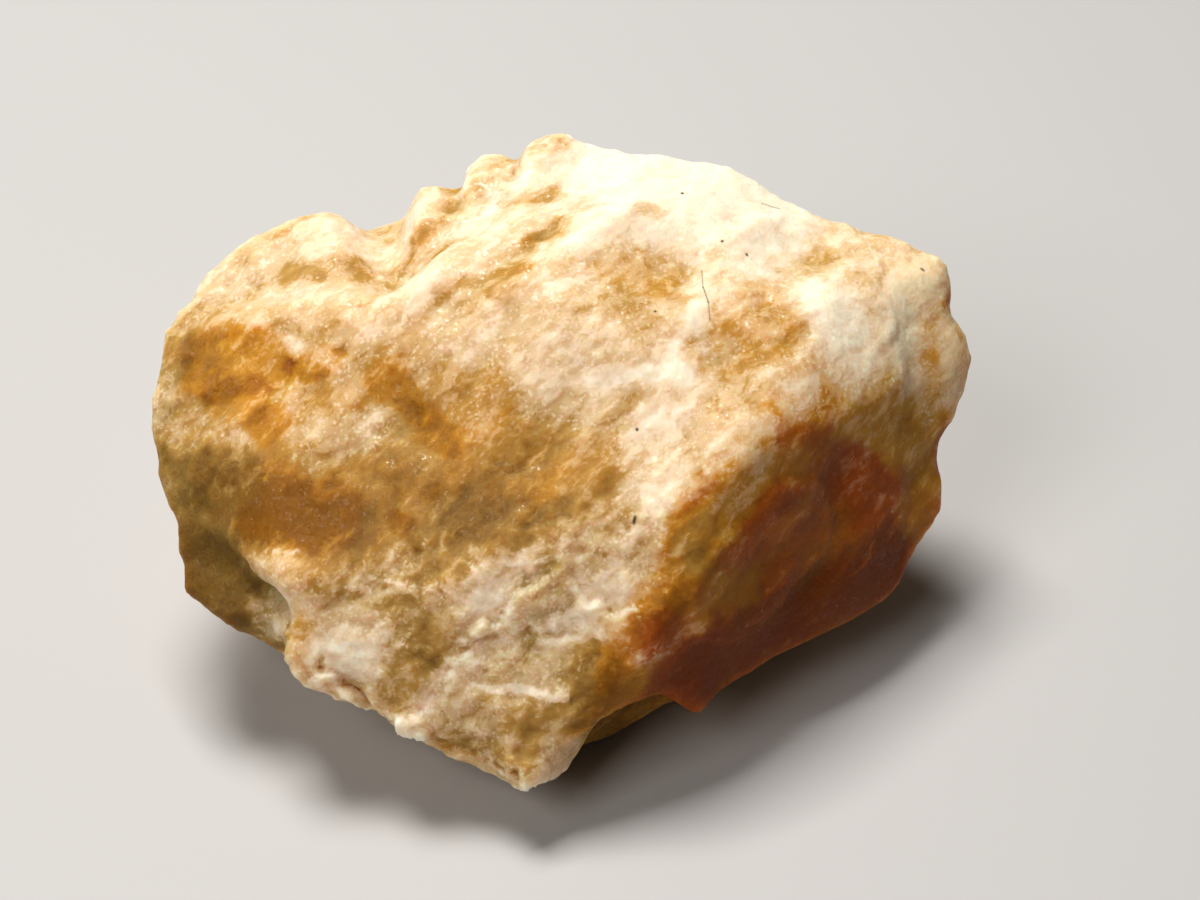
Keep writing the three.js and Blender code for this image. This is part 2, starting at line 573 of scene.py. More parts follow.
PATCHES: Dict[Look, Sequence[Stroke]] = {
    Look.FROST: (
        Stroke((0.14, 0.72, 0.96), (0.46, 0.58, 0.90), 3.8, 0.85),
        Stroke((-0.33, 0.43, 0.88), (-0.02, 0.73, 0.97), 1.0, 0.35),
        Stroke((0.31, 0.23, 0.87), (0.26, 0.00, 0.84), 1.0, 0.3),
        Stroke((0.26, -0.08, 0.82), (0.22, -0.21, 0.75), 1.4, 0.45),
        Stroke((0.22, -0.21, 0.75), (0.19, -0.40, 0.67), 1.8, 0.55),
        Stroke((0.18, -0.43, 0.65), (0.14, -0.53, 0.59), 1.3, 0.3),
        Stroke((0.56, 0.25, 0.84), (0.66, 0.18, 0.79), 1.3, 0.45),
        Stroke((0.07, -0.12, 0.80), (0.26, -0.09, 0.82), 0.8, 0.55),
        Stroke((-0.75, -0.42, 0.47), (-0.54, -0.51, 0.53), 0.9, 0.35),
        Stroke((-0.56, -0.64, 0.40), (-0.47, -0.65, 0.42), 1.5, 0.4),
        Stroke((-0.36, -0.82, 0.27), (-0.22, -0.72, 0.43), 0.3, 0.7),
        # partly painted highlight: a white vein whose brightest line stands for where it catches
        # the light
        Stroke((-0.22, -0.79, 0.34), (0.00, -0.82, 0.32), 0.35, 0.9),
        Stroke((0.05, -0.62, 0.51), (0.12, -0.66, 0.49), 1.2, 0.25),
        Stroke((-0.02, -0.71, 0.43), (0.04, -0.68, 0.45), 1.0, 0.6),
        Stroke((-0.92, -0.05, 0.60), (-0.76, -0.15, 0.63), 1.1, 0.3),
        Stroke((-0.64, -0.16, 0.67), (-0.55, -0.24, 0.66), 0.9, 0.3),
        Stroke((-0.80, 0.23, 0.79), (-0.65, 0.12, 0.79), 0.6, 0.5),
        Stroke((-0.65, 0.12, 0.79), (-0.52, -0.02, 0.79), 0.5, 0.6),
        Stroke((-0.50, -0.56, 0.50), (-0.31, -0.63, 0.51), 0.3, 0.6),
        Stroke((-0.31, -0.63, 0.51), (-0.17, -0.60, 0.56), 0.4, 0.6),
        Stroke((-0.17, -0.60, 0.56), (-0.05, -0.53, 0.60), 0.3, 0.6),
    ),
    Look.PALE: (
        Stroke((-0.91, 0.37, 0.77), (-0.79, 0.47, 0.83), 2.0),
        Stroke((-0.48, 0.54, 0.84), (-0.40, 0.36, 0.86), 1.8, 1.3),
        Stroke((-0.80, 0.42, 0.83), (-0.55, 0.46, 0.86), 2.0, 0.4),
        Stroke((-0.72, 0.24, 0.82), (-0.35, 0.22, 0.88), 1.6, 0.7),
        Stroke((0.80, 0.44, 0.80), (0.60, 0.24, 0.82), 2.2, 0.8),
        Stroke((0.76, 0.22, 0.74), (0.56, 0.02, 0.75), 1.6, 0.7),
        Stroke((-0.24, 0.62, 0.94), (-0.21, 0.77, 0.97), 1.6),
        Stroke((-0.62, 0.48, 0.87), (-0.50, 0.52, 0.88), 1.6, 0.5),
        Stroke((-0.13, 0.69, 0.98), (-0.10, 0.78, 0.99), 1.0, 0.6),
        # these two strokes on the thin right end are painted light, for light glowing through it
        Stroke((0.86, 0.40, 0.75), (0.89, 0.22, 0.58), 1.8, 1.5),
        Stroke((0.95, 0.36, 0.66), (0.97, 0.26, 0.56), 1.7, 2.4),
        Stroke((0.35, -0.34, 0.73), (0.56, -0.08, 0.74), 1.3, 1.0),
        Stroke((0.60, -0.02, 0.72), (0.74, 0.12, 0.70), 1.5, 0.5),
        Stroke((-0.41, 0.52, 0.88), (-0.37, 0.58, 0.89), 1.3, 1.3),
        Stroke((0.82, 0.40, 0.77), (0.90, 0.48, 0.78), 1.4, 0.8),
        Stroke((-0.20, -0.88, 0.23), (-0.11, -0.88, 0.25), 0.8, 0.7),
        Stroke((-0.37, -0.68, 0.43), (-0.34, -0.72, 0.40), 0.8, 0.6),
        Stroke((0.02, -0.55, 0.58), (0.04, -0.50, 0.60), 0.8, 0.6),
        Stroke((-0.52, -0.75, 0.32), (-0.50, -0.75, 0.30), 0.8, 1.2),
        Stroke((0.05, -0.81, 0.34), (0.16, -0.77, 0.35), 0.9, 0.6),
        Stroke((0.62, 0.55, 0.84), (0.68, 0.57, 0.83), 1.0, 0.8),
        Stroke((0.40, -0.30, 0.74), (0.45, -0.24, 0.74), 1.0, 0.9),
        Stroke((-0.68, -0.55, 0.36), (-0.66, -0.57, 0.37), 0.8, 1.3),
        Stroke((-0.45, -0.64, 0.44), (-0.42, -0.66, 0.44), 0.8, 0.6),
        Stroke((-0.63, -0.25, 0.64), (-0.59, -0.27, 0.64), 0.8, 0.9),
        Stroke((0.50, -0.12, 0.76), (0.63, -0.06, 0.70), 1.6, 0.5),
        Stroke((0.66, 0.08, 0.75), (0.79, 0.21, 0.71), 2.0, 1.0),
        Stroke((-0.76, 0.33, 0.79), (-0.56, 0.18, 0.84), 1.6, 0.6),
        Stroke((-0.22, 0.04, 0.86), (-0.02, -0.06, 0.84), 1.8, 0.8),
        Stroke((-0.21, -0.63, 0.52), (-0.09, -0.60, 0.55), 1.4),
        Stroke((0.61, 0.11, 0.80), (0.79, 0.29, 0.76), 1.8, 0.5),
        Stroke((0.22, -0.62, 0.52), (0.28, -0.49, 0.63), 1.3, 0.4),
        Stroke((0.06, 0.33, 0.95), (0.20, 0.42, 0.94), 1.2, 1.4),
        Stroke((-0.70, -0.50, 0.34), (-0.67, -0.50, 0.42), 1.5, 2.6),
        Stroke((-0.47, 0.10, 0.86), (-0.36, 0.16, 0.89), 1.4, 1.2),
        Stroke((-0.45, -0.16, 0.70), (-0.33, -0.24, 0.69), 1.1, 0.8),
        Stroke((0.79, 0.30, 0.76), (0.82, 0.18, 0.66), 1.3, 2.2),
        Stroke((0.07, -0.50, 0.62), (0.13, -0.48, 0.63), 1.0, 0.5),
        Stroke((-0.57, -0.16, 0.69), (-0.48, -0.19, 0.70), 1.2, 1.1),
        Stroke((-0.53, -0.72, 0.36), (-0.48, -0.73, 0.35), 1.2, 1.0),
        Stroke((-0.04, -0.16, 0.78), (0.04, -0.16, 0.77), 1.3, 0.9),
        Stroke((0.30, -0.12, 0.80), (0.36, 0.03, 0.81), 1.0, 1.1),
    ),
    Look.HONEY: (
        Stroke((0.11, 0.28, 0.92), (0.22, 0.28, 0.89), 1.8, 0.3),
        Stroke((0.34, 0.04, 0.81), (0.48, 0.17, 0.82), 2.4, 0.3),
        Stroke((0.54, 0.38, 0.85), (0.60, 0.44, 0.84), 1.4, 0.7),
        Stroke((0.69, 0.34, 0.83), (0.71, 0.36, 0.83), 0.9),
        Stroke((0.18, 0.49, 0.95), (0.22, 0.51, 0.94), 0.8),
        Stroke((-0.14, 0.58, 0.93), (-0.04, 0.60, 0.95), 0.8),
        Stroke((-0.18, 0.32, 0.92), (-0.07, 0.49, 0.95), 0.7, 0.4),
        Stroke((-0.66, 0.37, 0.83), (-0.50, 0.38, 0.84), 0.9),
        Stroke((-0.35, 0.48, 0.89), (-0.24, 0.59, 0.93), 0.9),
        Stroke((-0.55, -0.29, 0.63), (0.03, -0.42, 0.65), 3.6, 1.0),
        Stroke((-0.34, -0.20, 0.72), (-0.08, -0.24, 0.72), 2.6, 0.4),
        Stroke((-0.56, -0.43, 0.55), (-0.24, -0.53, 0.57), 2.0, 0.6),
        Stroke((-0.69, -0.36, 0.55), (-0.52, -0.44, 0.55), 1.7, 1.3),
        Stroke((-0.38, -0.66, 0.46), (-0.30, -0.73, 0.40), 1.1, 0.5),
        Stroke((0.11, -0.40, 0.67), (0.14, -0.43, 0.65), 1.1, 0.5),
        Stroke((-0.11, -0.85, 0.28), (-0.06, -0.85, 0.29), 1.0),
        Stroke((-0.55, 0.11, 0.82), (-0.36, 0.18, 0.90), 0.9, 0.4),
        Stroke((-0.22, 0.01, 0.85), (0.07, 0.32, 0.94), 0.7, 0.5),
        Stroke((-0.21, 0.68, 0.96), (-0.17, 0.80, 0.96), 1.3, 1.3),
        Stroke((-0.34, 0.63, 0.93), (-0.26, 0.62, 0.94), 1.0, 0.4),
        Stroke((-0.10, 0.76, 0.99), (-0.05, 0.82, 0.99), 1.1, 1.4),
        Stroke((-0.20, 0.14, 0.89), (-0.07, 0.36, 0.94), 0.9, 0.5),
        Stroke((-0.06, 0.01, 0.88), (0.10, 0.12, 0.90), 1.6, 0.7),
        Stroke((0.12, 0.11, 0.90), (0.22, 0.09, 0.88), 1.3, 0.6),
        Stroke((-0.38, 0.44, 0.87), (-0.31, 0.42, 0.90), 1.1, 0.6),
        Stroke((-0.75, 0.45, 0.84), (-0.72, 0.34, 0.81), 1.2, 0.5),
        Stroke((0.08, -0.77, 0.37), (0.03, -0.83, 0.31), 1.6, 1.4),
        Stroke((-0.27, -0.89, 0.21), (-0.13, -0.90, 0.24), 1.7, 0.9),
        Stroke((-0.28, -0.69, 0.43), (-0.38, -0.79, 0.32), 1.4, 1.1),
        Stroke((-0.57, -0.56, 0.50), (-0.49, -0.61, 0.46), 1.3, 0.9),
        Stroke((0.24, -0.48, 0.62), (0.18, -0.57, 0.56), 1.1, 0.6),
        Stroke((-0.72, -0.17, 0.65), (-0.67, -0.18, 0.65), 0.9, 0.7),
        Stroke((-0.30, -0.08, 0.79), (-0.18, -0.08, 0.81), 1.5, 0.7),
        Stroke((-0.24, -0.43, 0.61), (-0.10, -0.46, 0.62), 1.5, 0.8),
        Stroke((-0.30, -0.59, 0.54), (-0.25, -0.59, 0.54), 1.2, 0.7),
        Stroke((-0.66, 0.21, 0.83), (-0.58, 0.17, 0.84), 1.5, 0.6),
        Stroke((-0.75, -0.38, 0.51), (-0.72, -0.37, 0.52), 1.0, 0.9),
        Stroke((-0.60, -0.63, 0.40), (-0.58, -0.61, 0.42), 1.0, 0.8),
        Stroke((-0.38, -0.33, 0.65), (-0.34, -0.34, 0.65), 1.2, 0.6),
        Stroke((0.23, 0.18, 0.88), (0.26, 0.16, 0.87), 1.0, 0.5),
        Stroke((0.18, -0.16, 0.78), (0.22, -0.15, 0.79), 1.1, 0.7),
        Stroke((-0.15, 0.15, 0.92), (-0.12, 0.22, 0.93), 0.9, 1.3),
        Stroke((-0.10, -0.62, 0.52), (-0.04, -0.60, 0.53), 1.1, 0.6),
        Stroke((-0.75, 0.22, 0.80), (-0.70, 0.19, 0.80), 1.2, 0.8),
        Stroke((-0.68, -0.49, 0.51), (-0.62, -0.51, 0.52), 0.9, 0.8),
        Stroke((0.26, -0.46, 0.64), (0.25, -0.50, 0.61), 1.0, 0.8),
        Stroke((-0.06, 0.38, 0.94), (0.00, 0.43, 0.94), 0.8, 0.8),
        Stroke((-0.77, 0.50, 0.84), (-0.74, 0.56, 0.85), 1.0, 0.6),
        Stroke((-0.60, -0.03, 0.74), (-0.56, -0.05, 0.74), 0.9, 0.8),
        Stroke((-0.02, -0.45, 0.64), (0.01, -0.46, 0.63), 0.9, 0.6),
        Stroke((-0.40, -0.60, 0.49), (-0.36, -0.60, 0.50), 0.8, 0.8),
        Stroke((0.44, -0.16, 0.77), (0.47, -0.15, 0.77), 0.8, 0.6),
        Stroke((-0.18, -0.82, 0.31), (-0.14, -0.75, 0.38), 0.9, 0.5),
        Stroke((0.17, 0.02, 0.87), (0.19, 0.04, 0.87), 0.9, 0.6),
        Stroke((0.16, 0.26, 0.90), (0.18, 0.27, 0.90), 0.9, 0.5),
        Stroke((0.31, -0.47, 0.63), (0.34, -0.48, 0.61), 0.8, 0.7),
        Stroke((-0.26, -0.65, 0.49), (-0.32, -0.62, 0.50), 0.9, 0.6),
        Stroke((-0.64, -0.65, 0.37), (-0.60, -0.64, 0.38), 0.9, 0.7),
        Stroke((-0.26, 0.06, 0.87), (-0.22, 0.10, 0.88), 0.8, 0.6),
        Stroke((-0.12, -0.16, 0.77), (-0.07, -0.16, 0.78), 0.9, 0.6),
        Stroke((-0.33, -0.75, 0.38), (-0.29, -0.77, 0.36), 0.8, 0.7),
        Stroke((0.31, -0.36, 0.71), (0.33, -0.40, 0.69), 0.8, 0.5),
        Stroke((0.30, -0.56, 0.56), (0.21, -0.69, 0.47), 1.6, 1.0),
        Stroke((0.12, -0.80, 0.33), (0.07, -0.83, 0.26), 1.5, 0.9),
        Stroke((0.12, -0.70, 0.45), (0.20, -0.66, 0.49), 1.4, 0.5),
        Stroke((-0.11, -0.93, 0.21), (-0.02, -0.88, 0.27), 1.6, 0.6),
    ),
    Look.AMBER: (
        Stroke((0.92, 0.46, 0.71), (0.94, 0.42, 0.69), 1.1, 0.9),
        Stroke((-0.85, 0.12, 0.72), (-0.72, 0.09, 0.75), 1.8, 1.15),
        Stroke((-0.62, 0.05, 0.77), (-0.55, 0.02, 0.77), 0.9, 1.0),
        Stroke((-0.81, 0.03, 0.68), (-0.75, 0.01, 0.69), 1.4, 0.8),
        Stroke((-0.41, -0.07, 0.77), (-0.28, -0.21, 0.71), 1.0, 1.1),
        Stroke((-0.72, -0.09, 0.68), (-0.69, -0.10, 0.68), 0.9),
        Stroke((-0.76, -0.24, 0.60), (-0.73, -0.25, 0.60), 1.0, 0.5),
        Stroke((-0.39, -0.43, 0.59), (-0.36, -0.48, 0.57), 0.6),
        Stroke((-0.83, -0.20, 0.58), (-0.56, -0.37, 0.57), 1.9, 1.0),
        Stroke((0.13, 0.28, 0.92), (0.22, 0.28, 0.89), 1.8, 0.65),
        Stroke((0.34, 0.04, 0.81), (0.46, 0.17, 0.82), 2.2, 0.75),
    ),
    Look.OLIVE: (
        Stroke((-0.96, 0.16, 0.70), (-0.94, 0.22, 0.74), 1.3, 0.4),
        Stroke((-0.93, -0.13, 0.55), (-0.76, -0.23, 0.59), 1.8, 0.9),
        Stroke((-0.89, -0.24, 0.48), (-0.82, -0.31, 0.47), 1.5, 0.9),
        Stroke((-0.87, -0.39, 0.36), (-0.75, -0.48, 0.35), 3.0, 1.9),
        Stroke((-0.05, -0.62, 0.52), (-0.03, -0.78, 0.35), 1.5, 0.35),
    ),
    Look.RUSSET: (
        Stroke((0.66, -0.09, 0.56), (0.73, -0.08, 0.46), 2.0, 0.7),
        Stroke((0.22, -0.71, 0.42), (0.28, -0.69, 0.25), 1.6, 0.6),
    ),
    # painted light on the right end, the left end, the boss and the ridge above it
    Look.GLOW: (
        Stroke((0.70, 0.02, 0.66), (0.83, 0.13, 0.55), 2.4, 1.2),
        Stroke((0.86, 0.10, 0.45), (0.88, -0.02, 0.32), 1.6, 0.5),
        Stroke((-0.97, 0.03, 0.62), (-0.97, 0.11, 0.68), 1.2, 1.2),
        Stroke((0.39, -0.54, 0.46), (0.42, -0.52, 0.44), 1.6, 0.6),
        Stroke((0.45, -0.30, 0.67), (0.50, -0.24, 0.66), 1.3, 0.7),
        Stroke((0.89, 0.13, 0.42), (0.91, 0.12, 0.38), 1.2, 0.6),
        Stroke((0.43, -0.31, 0.69), (0.28, -0.55, 0.57), 1.2, 1.3),
    ),
    # partly painted shade, low on the front and the right face and on the underside, where shade
    # falls
    Look.UMBER: (
        Stroke((0.08, -0.75, 0.39), (0.05, -0.80, 0.34), 1.1, 0.7),
        Stroke((-0.90, -0.37, 0.37), (-0.88, -0.39, 0.36), 1.0, 1.0),
        Stroke((-0.78, -0.49, 0.34), (-0.76, -0.51, 0.34), 0.9, 0.5),
        Stroke((0.20, -0.76, 0.30), (0.30, -0.66, 0.26), 1.8, 0.7),
        Stroke((0.05, -0.66, 0.08), (0.24, -0.58, 0.15), 2.4, 1.8),
        Stroke((0.36, -0.62, 0.30), (0.78, -0.20, 0.30), 2.6, 1.3),
    ),
}
CRACKS = (  # healed cracks in the front that catch the light, as seen square to it
    # the first two follow that vein; their white is partly a painted highlight
    Stroke((-0.22, -0.79, 0.34), (-0.11, -0.80, 0.33), 0.20, 0.8),
    Stroke((-0.11, -0.80, 0.33), (0.00, -0.83, 0.32), 0.24, 1.1),
    Stroke((-0.70, -0.44, 0.51), (-0.61, -0.48, 0.53), 0.20, 0.5),
    Stroke((-0.61, -0.48, 0.53), (-0.52, -0.52, 0.52), 0.18, 0.4),
    Stroke((-0.46, -0.54, 0.51), (-0.38, -0.59, 0.51), 0.18, 0.8),
    Stroke((-0.38, -0.59, 0.51), (-0.29, -0.63, 0.51), 0.20, 0.8),
    Stroke((-0.35, -0.83, 0.26), (-0.25, -0.76, 0.38), 0.20, 0.9),
    Stroke((-0.25, -0.76, 0.38), (-0.17, -0.69, 0.45), 0.18, 0.7),
    Stroke((-0.17, -0.69, 0.45), (-0.22, -0.58, 0.56), 0.16, 0.6),
    Stroke((-0.22, -0.58, 0.56), (-0.15, -0.63, 0.52), 0.18, 0.8),
    Stroke((-0.15, -0.63, 0.52), (-0.03, -0.56, 0.58), 0.18, 0.8),
    Stroke((-0.02, -0.57, 0.57), (-0.04, -0.71, 0.42), 0.16, 0.7),
    Stroke((0.00, -0.83, 0.32), (0.03, -0.74, 0.40), 0.16, 0.6),
)
STREAKS = (  # clear streaks (below 0) and frosty ones on the top, as seen from above
    *chain(0.35, -0.7, (-0.30, 0.15, 0), (-0.25, 0.19, 0), (-0.16, 0.23, 0), (-0.11, 0.23, 0)),
    *chain(0.34, -0.7, (-0.19, 0.25, 0), (-0.09, 0.37, 0), (-0.02, 0.49, 0)),
    *chain(0.40, -0.5, (-0.45, 0.40, 0), (-0.37, 0.43, 0), (-0.30, 0.50, 0), (-0.26, 0.57, 0)),
    *chain(0.40, -0.5, (-0.16, 0.57, 0), (-0.09, 0.56, 0), (-0.04, 0.60, 0), (0.01, 0.73, 0)),
    Stroke((0.25, -0.02, 0), (0.30, 0.14, 0), 0.45, 0.9),
    Stroke((0.30, 0.14, 0), (0.31, 0.01, 0), 0.55, 1.2),
    Stroke((0.06, -0.12, 0), (0.14, -0.10, 0), 0.40, 0.6),
    Stroke((0.14, -0.10, 0), (0.26, -0.07, 0), 0.30, 0.6),
    Stroke((-0.24, -0.04, 0), (-0.16, 0.04, 0), 0.35, 0.8),
    Stroke((-0.05, 0.32, 0), (0.07, 0.36, 0), 0.60, 0.6),
    Stroke((-0.31, 0.42, 0), (-0.12, 0.49, 0), 0.50, 0.6),
    Stroke((-0.32, 0.06, 0), (-0.27, 0.09, 0), 0.40, 0.6),
    Stroke((-0.01, -0.14, 0), (0.07, -0.14, 0), 0.30, -0.7),
    Stroke((-0.15, -0.01, 0), (-0.12, 0.00, 0), 0.30, -0.7),
    Stroke((0.02, 0.06, 0), (0.05, 0.09, 0), 0.25, -0.5),
)
# the pit is painted shade: a dark spot for the shade in a small hollow
DIRT_AND_PIT_SHADE = (  # six specks, a pit, a faint scratch and a bent hair, as seen from above
    Stroke((0.272, 0.610, 0), (0.273, 0.611, 0), 0.11, 1.2),
    Stroke((0.365, 0.433, 0), (0.366, 0.435, 0), 0.09),
    Stroke((0.424, 0.405, 0), (0.424, 0.407, 0), 0.10),
    Stroke((0.852, 0.473, 0), (0.855, 0.471, 0), 0.13, 0.8),
    Stroke((0.202, 0.100, 0), (0.203, 0.101, 0), 0.09),
    Stroke((0.159, -0.233, 0), (0.160, -0.234, 0), 0.09),
    Stroke((0.154, -0.476, 0), (0.152, -0.483, 0), 0.11),
    Stroke((0.468, 0.653, 0), (0.512, 0.653, 0), 0.07, 0.5),
    Stroke((0.315, 0.317, 0), (0.316, 0.233, 0), 0.055, 0.5),
    Stroke((0.316, 0.233, 0), (0.327, 0.166, 0), 0.055, 0.7),
    Stroke((0.327, 0.166, 0), (0.330, 0.105, 0), 0.05, 0.5),
)


class Zoning:
    """Where the stone is milky or clear, and how warm its clear parts are."""

    PLAIN_MILK = 0.22  # how milky the stone is away from every face and patch
    MILK_SHARES = {
        Facets.TOP: 0.30,
        # the right face is made clearer and so darker: partly its own look, partly painted shade
        # where the key light misses it
        Facets.RIGHT: -0.56,
        Facets.FRONT: 0.18,
        Facets.LEFT: -0.26,
    }
    LIFT_SHARES: Dict[int, float] = {5: 4.0, 60: 0.45}  # milk for each millimetre of lift
    PLAIN_WARMTH = 0.42  # how warm it is there
    WARMTH_SHARES = {
        # redder on the right face: partly its own colour, partly painted shade
        Facets.BLUSH: 0.48,
        Facets.FRONT: -0.12,
        Facets.LEFT: -0.10,
        Facets.TOP: -0.08,
    }
    CORES: Dict[Look, float] = {Look.AMBER: 0.62, Look.OLIVE: 0.5, Look.RUSSET: 0.0}
    CORE = 0.3  # the share of a patch's width that is full, where CORES says nothing

    # how the edges of faces and patches, streaks and cracks are bent
    RAGGED = (Bend(2.4, 0.6), Bend(0.9, 0.5), Bend(0.35, 0.22))
    STREAK_BEND = Bend(0.9, 0.18)
    CRACK_BENDS = (Bend(0.3, 0.08), Bend(1.1, 0.3))

    # the noise in milk: clouds and wisps, threads along the grain, and evenly milky chunks
    CLOUD_BEND = Bend(2.0, 0.8)
    CLOUD_STRETCH = 1.8
    CLOUDS = Waves(5.0, 3.0, 0.66)
    WISPS = Waves(1.9, 3.0, 0.6, 43.0)
    THREADS = Waves(0.9, 2.0, 0.55, 3.0)
    THREAD_STRETCH = 4.0
    CHUNK = 2.4  # the chunks' width, in millimetres
    QUIET = 0.2  # how much the chunks count away from the front

    # the noise in warmth: broad stains, and finer tinges along the grain
    STAINS = Waves(4.5, 2.0, 0.5, 11.0)
    TINGES = Waves(1.4, 3.0, 0.6, 5.0)

    def __init__(self, fields: Fields) -> None:
        """Reads every patch and face at the fields' place, with ragged edges."""
        self.fields = fields
        self.writer = fields.writer
        ragged = Fields(self.writer, fields.warped(*self.RAGGED))
        self.patches = {
            look: ragged.strokes(marks, 0.0, self.CORES.get(look, self.CORE))
            for look, marks in PATCHES.items()
        }
        self.facets = {facet: ragged.on_facet(facet.value) for facet in Facets}
        drawn = Fields(self.writer, fields.warped(self.STREAK_BEND), UP)
        self.streaks = drawn.strokes(STREAKS) * self.facets[Facets.UPPER]

    def over_facets(self, start: float, shares: Dict[Facets, float]) -> Socket:
        """Adds up what the broken faces give.

        Args:
            start: The amount away from every face.
            shares: What each face adds to it.

        Returns:
            The sum.
        """
        total = start
        for facet, share in shares.items():
            total = total + share * self.facets[facet]
        return total

    def milk(self, lifts: Dict[int, Socket]) -> Socket:
        """How cloudy the stone is.

        Args:
            lifts: How far each point stands out, for each number of rounds of blurring.

        Returns:
            From about 0, clear, to 1, frosty.
        """
        fields = self.fields
        uneven = fields.squeezed(fields.warped(self.CLOUD_BEND), GRAIN, self.CLOUD_STRETCH)
        drawn = fields.squeezed(fields.place, GRAIN, self.THREAD_STRETCH)
        on_front = self.writer.at_least(self.QUIET, self.facets[Facets.FRONT])
        total = (
            self.over_facets(self.PLAIN_MILK, self.MILK_SHARES)
            + 0.26 * fields.noise(self.CLOUDS, uneven)
            + 0.12 * fields.noise(self.WISPS, uneven)
            + 0.12 * fields.noise(self.THREADS, drawn)
            + 0.14 * fields.lots(self.CHUNK, uneven) * on_front
            + 0.4 * self.streaks
        )
        for rounds, share in self.LIFT_SHARES.items():
            total = total + lifts[rounds] * share
        for look, mask in self.patches.items():
            total = total + mask * look.value[0]
        return total

    def warmth(self) -> Socket:
        """The clear stone's colour.

        Returns:
            0 for olive, 1/3 for honey, 2/3 for amber and 1 for russet.
        """
        fields = self.fields
        total = (
            self.over_facets(self.PLAIN_WARMTH, self.WARMTH_SHARES)
            + 0.10 * fields.noise(self.STAINS)
            + 0.15 * fields.noise(self.TINGES, fields.fibrewise)
            - 0.1 * self.streaks
        )
        for look, mask in self.patches.items():
            total = total + mask * look.value[1]
        return total

    def healed(self) -> Socket:
        """Healed cracks in the front.

        Returns:
            From 0, away from them, to about 1.
        """
        sight = Vector(Facets.FRONT.value.normal).normalized()
        drawn = Fields(self.writer, self.fields.warped(*self.CRACK_BENDS), sight)
        return drawn.strokes(CRACKS) * self.facets[Facets.CRACKED]


# ------------------------------------------------------------------------ the shape


